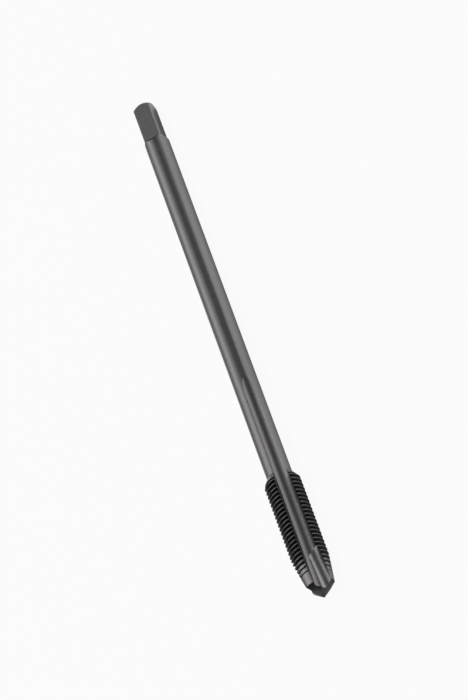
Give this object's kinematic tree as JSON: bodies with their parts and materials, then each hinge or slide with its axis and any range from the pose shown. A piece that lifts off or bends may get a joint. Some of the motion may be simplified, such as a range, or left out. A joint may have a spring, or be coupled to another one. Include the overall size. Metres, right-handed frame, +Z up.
{
  "type": "thread tap",
  "caption": "Spiral point machine tap with a long reduced shank and a driving square, lying at rest.",
  "frame": {"origin": "middle of the tap's footprint, on the surface that it lies on", "axes": "+X along the tap from its point to its driving square, +Z up, first flute facing down"},
  "size_m": [0.0654, 0.004, 0.0039],
  "materials": {
    "steam_treated_steel": "satin dark grey oxide, brighter where the lead and the spiral point are ground"
  },
  "bodies": {
    "root": {"thread_tap": "steam_treated_steel"}
  },
  "joints": []
}
